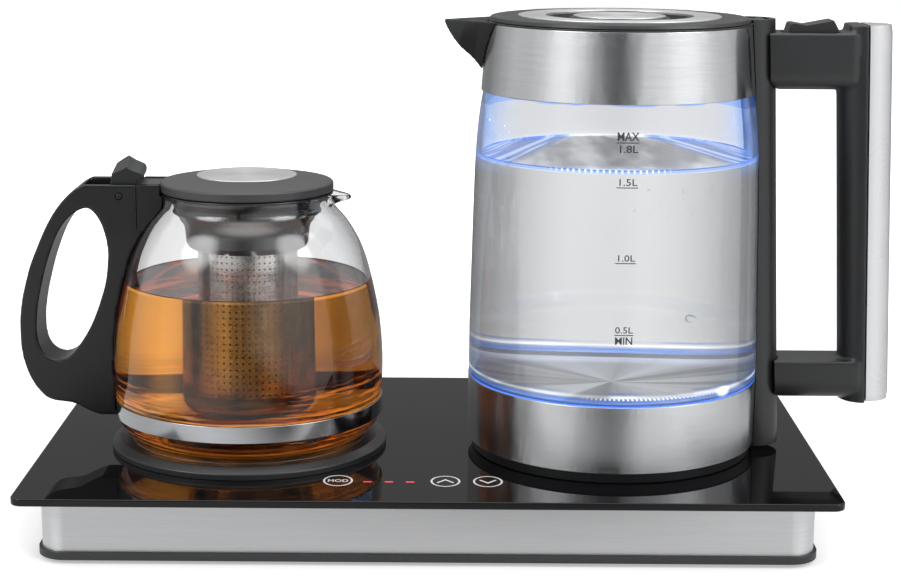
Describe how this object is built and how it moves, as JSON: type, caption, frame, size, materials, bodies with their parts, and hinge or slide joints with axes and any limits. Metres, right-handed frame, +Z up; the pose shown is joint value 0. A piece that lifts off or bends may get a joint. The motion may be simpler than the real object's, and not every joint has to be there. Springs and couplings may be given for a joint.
{
  "type": "automatic tea maker",
  "caption": "Powered tray with a glass kettle on a cordless connector and a glass infuser teapot on a warming plate; both lift off, with hinged lids.",
  "frame": {"origin": "centre of the whole set's bounding box, on the surface the feet stand on", "axes": "+X from the teapot to the kettle, along the tray; +Y from the front with its touch controls to the back; +Z up"},
  "size_m": [0.4392, 0.235, 0.2535],
  "materials": {
    "black_glass": "black toughened glass, polished (stored as gloss plastic because it is opaque)",
    "brushed_steel": "brushed stainless steel",
    "black_plastic": "moulded black plastic",
    "satin_black": "satin black moulding",
    "gloss_black": "gloss black moulding",
    "rubber": "black rubber",
    "zinc_steel": "zinc-plated steel",
    "board_green": "green circuit board",
    "relay_blue": "blue relay case",
    "clear_plastic": "clear light guide",
    "heater_grey": "dull grey heater sheath",
    "insulation": "mineral insulation board",
    "ceramic_white": "white ceramic",
    "brass": "plain brass",
    "clear_glass": "clear borosilicate glass",
    "silicone": "grey silicone",
    "aluminium": "plain aluminium",
    "fine_mesh": "thin perforated stainless steel",
    "silver_paint": "satin silver lacquer"
  },
  "bodies": {
    "base": {"glass_top": "black_glass", "steel_skirt": "brushed_steel", "bottom_cover": "black_plastic", "rubber_feet": "rubber", "upper_frame": "black_plastic", "cover_screws": "zinc_steel", "control_board": "board_green", "power_relay": "relay_blue", "touch_board": "board_green", "touch_springs": "zinc_steel", "indicator_lights": "clear_plastic", "cord_gland": "rubber", "warming_ring": "satin_black", "warming_plate": "black_glass", "warming_heater": "heater_grey", "heater_tray": "zinc_steel", "heater_insulation": "insulation", "thermal_cutout": "ceramic_white", "base_connector": "black_plastic", "connector_contacts": "brass"},
    "socket": {"kettle_socket": "black_plastic"},
    "kettle": {"kettle_base_cover": "satin_black", "kettle_base_screws": "zinc_steel", "base_band": "brushed_steel", "kettle_glass": "clear_glass", "heating_plate": "brushed_steel", "light_ring": "clear_plastic", "lower_seal": "silicone", "heat_diffuser": "aluminium", "heating_element": "heater_grey", "temperature_probe": "brass", "steel_collar": "brushed_steel", "kettle_rim": "satin_black", "kettle_spout": "satin_black", "spout_filter": "fine_mesh", "handle_spine": "satin_black", "handle_screws": "zinc_steel", "kettle_handle": "satin_black", "grip_cover": "silver_paint", "lid_pin": "zinc_steel", "button_pin": "zinc_steel", "button_spring": "zinc_steel"},
    "kettle_lid": {"lid_shell": "satin_black", "lid_trim": "brushed_steel", "lid_disc": "brushed_steel", "lid_liner": "black_plastic", "lid_seal": "silicone"},
    "button": {"lid_button": "satin_black"},
    "teapot": {"teapot_glass": "clear_glass", "pot_band": "brushed_steel", "pot_handle": "satin_black", "handle_bracket": "satin_black", "lever_pin": "brass", "infuser_funnel": "gloss_black"},
    "teapot_lid": {"pot_lid": "satin_black", "pot_lid_insert": "brushed_steel", "thumb_lever": "satin_black"},
    "strainer": {"strainer_basket": "fine_mesh", "strainer_rim": "fine_mesh"}
  },
  "joints": [
    {"name": "kettle_lift", "type": "slide", "parent": "base", "child": "socket", "axis": [0, 0, 1], "range_m": [0, 0.06]},
    {"name": "kettle_swivel", "type": "hinge", "parent": "socket", "child": "kettle", "pos_m": [0.07835, -0.017, 0.035], "axis": [0, 0, 1], "range_deg": [-145, 145]},
    {"name": "kettle_lid_hinge", "type": "hinge", "parent": "kettle", "child": "kettle_lid", "pos_m": [0.14785, -0.017, 0.2494], "axis": [0, 1, 0], "range_deg": [0, 75]},
    {"name": "lid_button_press", "type": "hinge", "parent": "kettle", "child": "button", "pos_m": [0.16385, -0.017, 0.2435], "axis": [0, 1, 0], "range_deg": [0, 6], "stiffness_Nm_per_rad": 0.1, "springref_deg": -2.86, "deforming": ["button_spring"]},
    {"name": "teapot_lift", "type": "slide", "parent": "base", "child": "teapot", "axis": [0, 0, 1], "range_m": [0, 0.06]},
    {"name": "teapot_lid_hinge", "type": "hinge", "parent": "teapot", "child": "teapot_lid", "pos_m": [-0.16785, -0.017, 0.164], "axis": [0, -1, 0], "range_deg": [0, 55]},
    {"name": "strainer_twist", "type": "hinge", "parent": "teapot", "child": "strainer", "pos_m": [-0.10605, -0.017, 0.14], "axis": [0, 0, 1], "range_deg": [-20, 20]}
  ]
}
